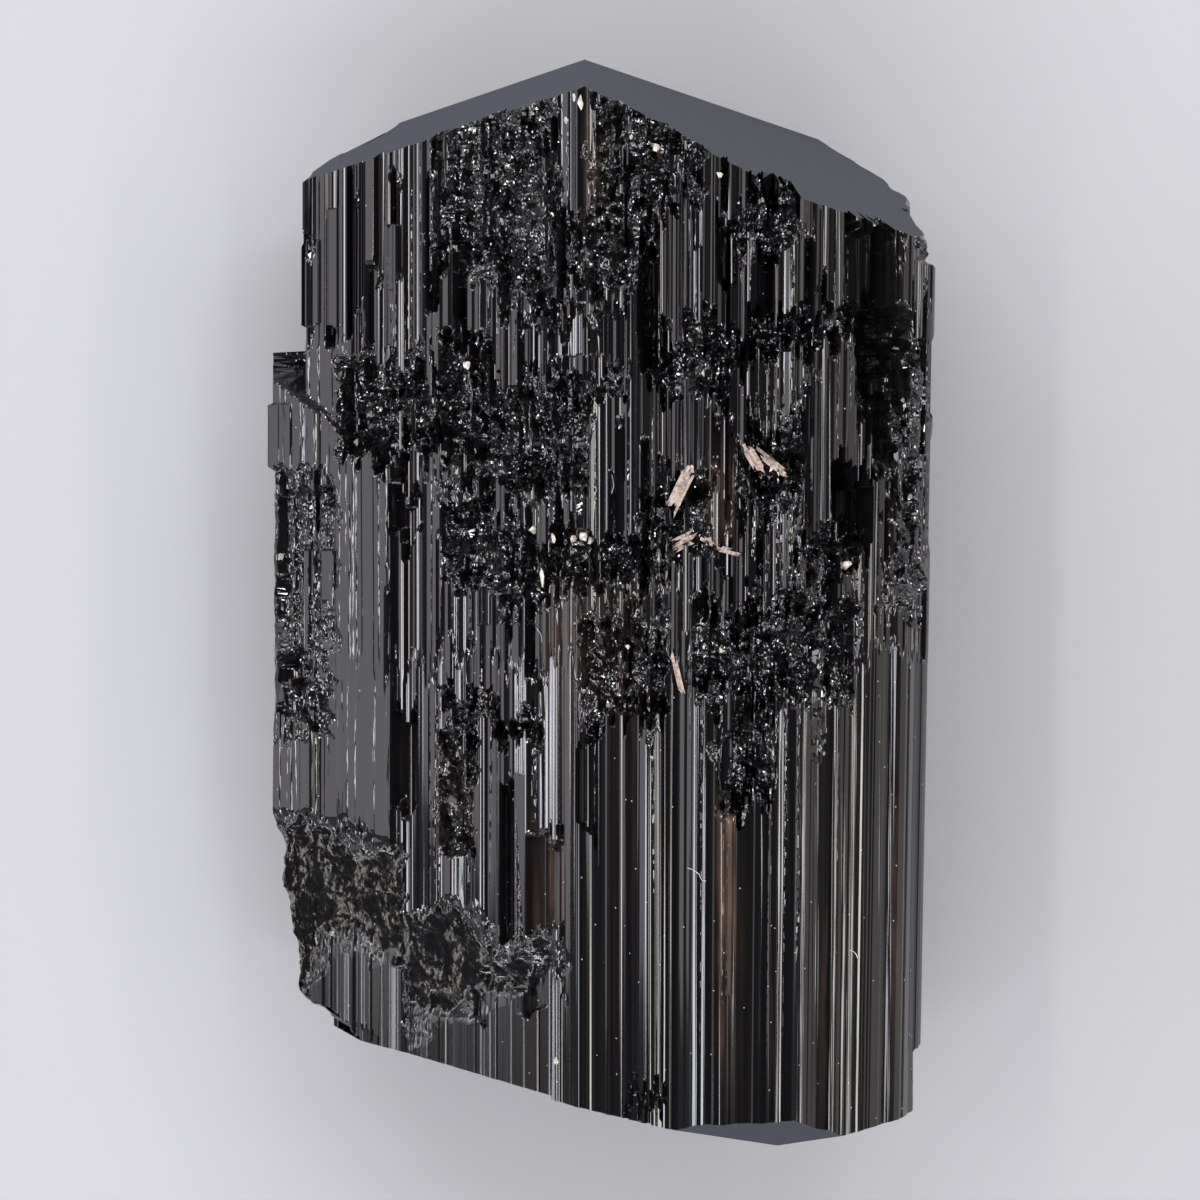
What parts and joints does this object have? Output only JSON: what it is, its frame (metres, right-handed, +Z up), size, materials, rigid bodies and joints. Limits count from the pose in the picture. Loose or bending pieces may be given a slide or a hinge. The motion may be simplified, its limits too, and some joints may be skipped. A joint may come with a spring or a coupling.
{
  "type": "tourmaline crystal",
  "caption": "Doubly terminated black tourmaline crystal with a striated prism, smooth pyramid faces and deeply etched hollows, lying on its flat back as a display specimen.",
  "frame": {"origin": "on the surface that the crystal lies on, under the middle of its bounding box", "axes": "+Y along the crystal's long (c) axis towards the smooth pointed end, +Z up from the surface it lies on, +X to the right seen from above with the pointed end away"},
  "size_m": [0.0348, 0.056, 0.02],
  "materials": {
    "schorl": "glassy black, satin on the end faces, hackly where etched"
  },
  "bodies": {
    "root": {"crystal": "schorl"}
  },
  "joints": []
}
